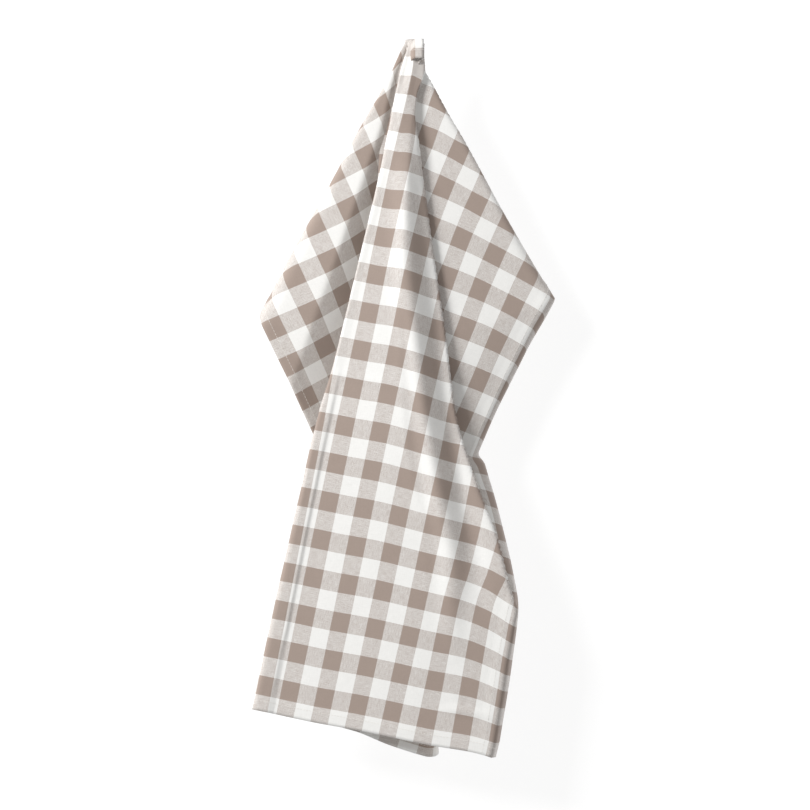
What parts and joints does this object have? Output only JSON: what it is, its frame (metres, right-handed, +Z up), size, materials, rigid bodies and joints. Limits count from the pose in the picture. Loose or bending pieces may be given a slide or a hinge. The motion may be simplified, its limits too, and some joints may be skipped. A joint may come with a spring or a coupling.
{
  "type": "tea towel",
  "caption": "Woven cotton check tea towel hanging in folds from one point near the middle of its top hem.",
  "frame": {"origin": "the point near the middle of the top hem that the cloth hangs from", "axes": "+Z up, +X to the right and -Y to the front, as the hung cloth is looked at"},
  "size_m": [0.2972, 0.073, 0.707],
  "materials": {
    "cotton": "matt woven cotton with a taupe and white check"
  },
  "bodies": {
    "root": {"towel": "cotton"}
  },
  "joints": []
}
